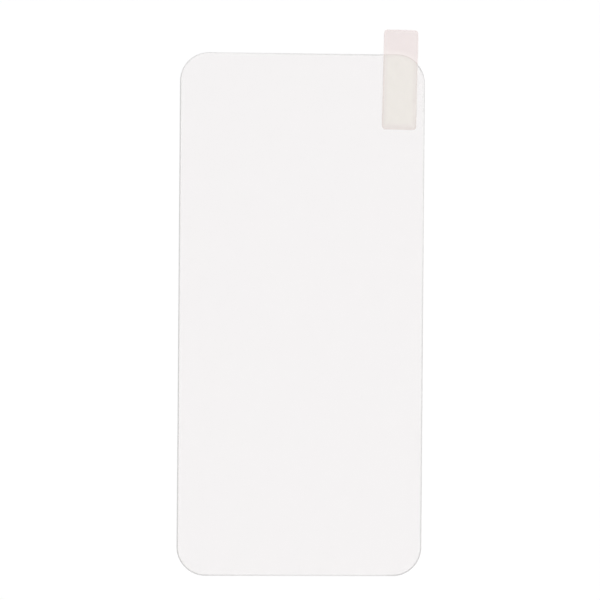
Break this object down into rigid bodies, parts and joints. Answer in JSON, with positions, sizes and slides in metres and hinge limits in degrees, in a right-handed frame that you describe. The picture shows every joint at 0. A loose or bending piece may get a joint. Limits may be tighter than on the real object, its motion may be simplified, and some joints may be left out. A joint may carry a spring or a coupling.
{
  "type": "phone screen protector",
  "caption": "Clear tempered glass sheet with rounded corners and an arc-ground rim, adhesive-backed, with a release liner and a pull tab standing out past one end; guards a phone's screen.",
  "frame": {"origin": "centre of the outline of glass and tab together, on the surface that the protector lies on", "axes": "+Z out of the back, which is the side of the liner and the tab, +Y towards the end with the pull tab, +X to the right seen from the back"},
  "size_m": [0.071, 0.1589, 0.0006],
  "materials": {
    "clear_glass": "clear, polished faces, finely ground rim",
    "clear_silicone": "clear and glossy",
    "clear_film": "clear polyester film",
    "hazy_film": "hazy, faintly pink polyester film"
  },
  "bodies": {
    "root": {"tempered_glass": "clear_glass", "adhesive_film": "clear_silicone", "release_liner": "clear_film", "pull_tab": "hazy_film"}
  },
  "joints": []
}
